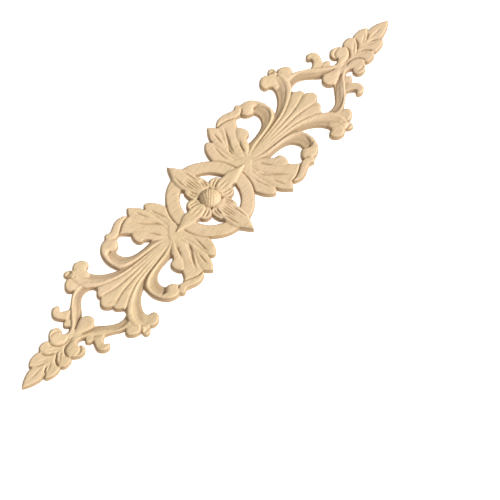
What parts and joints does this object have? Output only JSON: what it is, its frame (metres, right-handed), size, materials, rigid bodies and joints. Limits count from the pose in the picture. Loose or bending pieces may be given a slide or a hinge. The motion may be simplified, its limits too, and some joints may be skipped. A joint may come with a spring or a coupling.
{
  "type": "carved wood applique",
  "caption": "Pierced carved wood applique with a domed medallion, acanthus leaves, C scrolls and palmettes, flat on the back to be glued or pinned to furniture or a panel.",
  "frame": {"origin": "centre of the flat back, behind the dome of the medallion", "axes": "+X along the applique's length, +Y across it, +Z out of its flat back towards the carving"},
  "size_m": [0.5, 0.0988, 0.0102],
  "materials": {
    "pale_wood": "bare, sanded, unvarnished"
  },
  "bodies": {
    "root": {"carved_applique": "pale_wood"}
  },
  "joints": []
}
